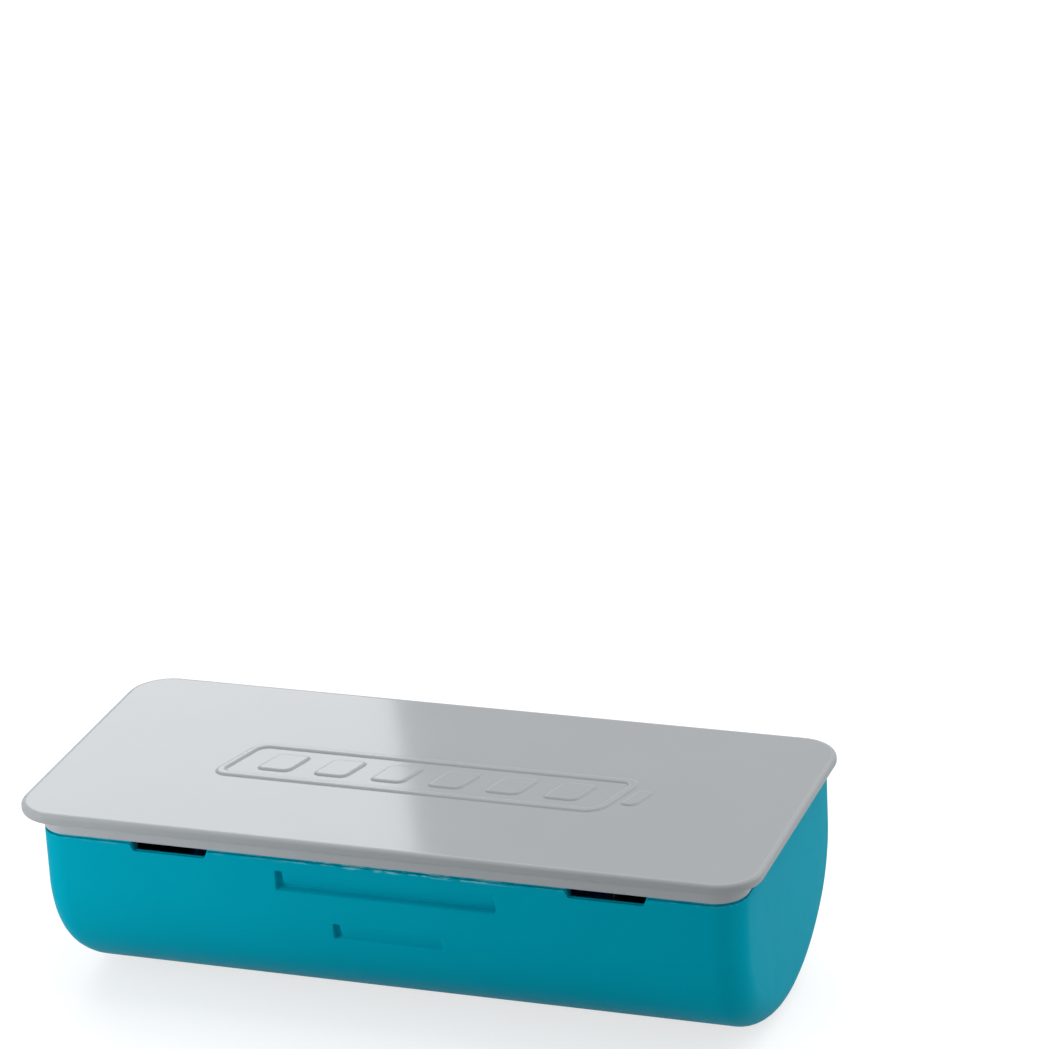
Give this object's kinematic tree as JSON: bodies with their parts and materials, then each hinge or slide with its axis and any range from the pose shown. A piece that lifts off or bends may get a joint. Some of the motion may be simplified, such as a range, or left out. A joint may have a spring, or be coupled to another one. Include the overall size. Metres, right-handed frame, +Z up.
{
  "type": "robot mop battery",
  "caption": "Clip-lidded rechargeable pack with a trough-shaped tray, a flat overhanging lid, latch detents in one long side and recessed contacts underneath.",
  "frame": {"origin": "middle of the lid's outline, on the surface that the pack stands on", "axes": "+X along the pack's length away from the longer lid overhang, +Y towards the side with the contacts, +Z up out of the lid"},
  "size_m": [0.11, 0.0496, 0.0304],
  "materials": {
    "tray": "semi-gloss moulded teal plastic",
    "lid": "gloss moulded grey plastic",
    "cell_wrap": "shrink-wrapped steel can",
    "steel": "nickel-plated steel",
    "paper": "insulating paper",
    "nickel": "nickel strip",
    "board": "solder-masked laminate",
    "package": "moulded epoxy",
    "capacitor": "fired ceramic",
    "fuse": "moulded body",
    "foam": "closed-cell foam",
    "block": "moulded black plastic",
    "contact": "gold-flashed spring brass",
    "lead_red": "red wire insulation",
    "lead_white": "white wire insulation",
    "lead_black": "black wire insulation"
  },
  "bodies": {
    "root": {"tray": "tray", "lid": "lid", "cell_front": "cell_wrap", "cell_rear": "cell_wrap", "cell_caps": "steel", "insulator_rings": "paper", "series_link": "nickel", "positive_tab": "nickel", "negative_tab": "nickel", "insulating_sheet": "paper", "protection_board": "board", "power_transistors": "package", "protection_chip": "package", "resistors": "package", "capacitors": "capacitor", "fuse": "fuse", "foam_pads": "foam", "thermistor": "package", "thermistor_leads": "nickel", "contact_block": "block", "contact_positive": "contact", "contact_sense": "contact", "contact_negative": "contact", "positive_lead": "lead_red", "sense_lead": "lead_white", "negative_lead": "lead_black"}
  },
  "joints": []
}
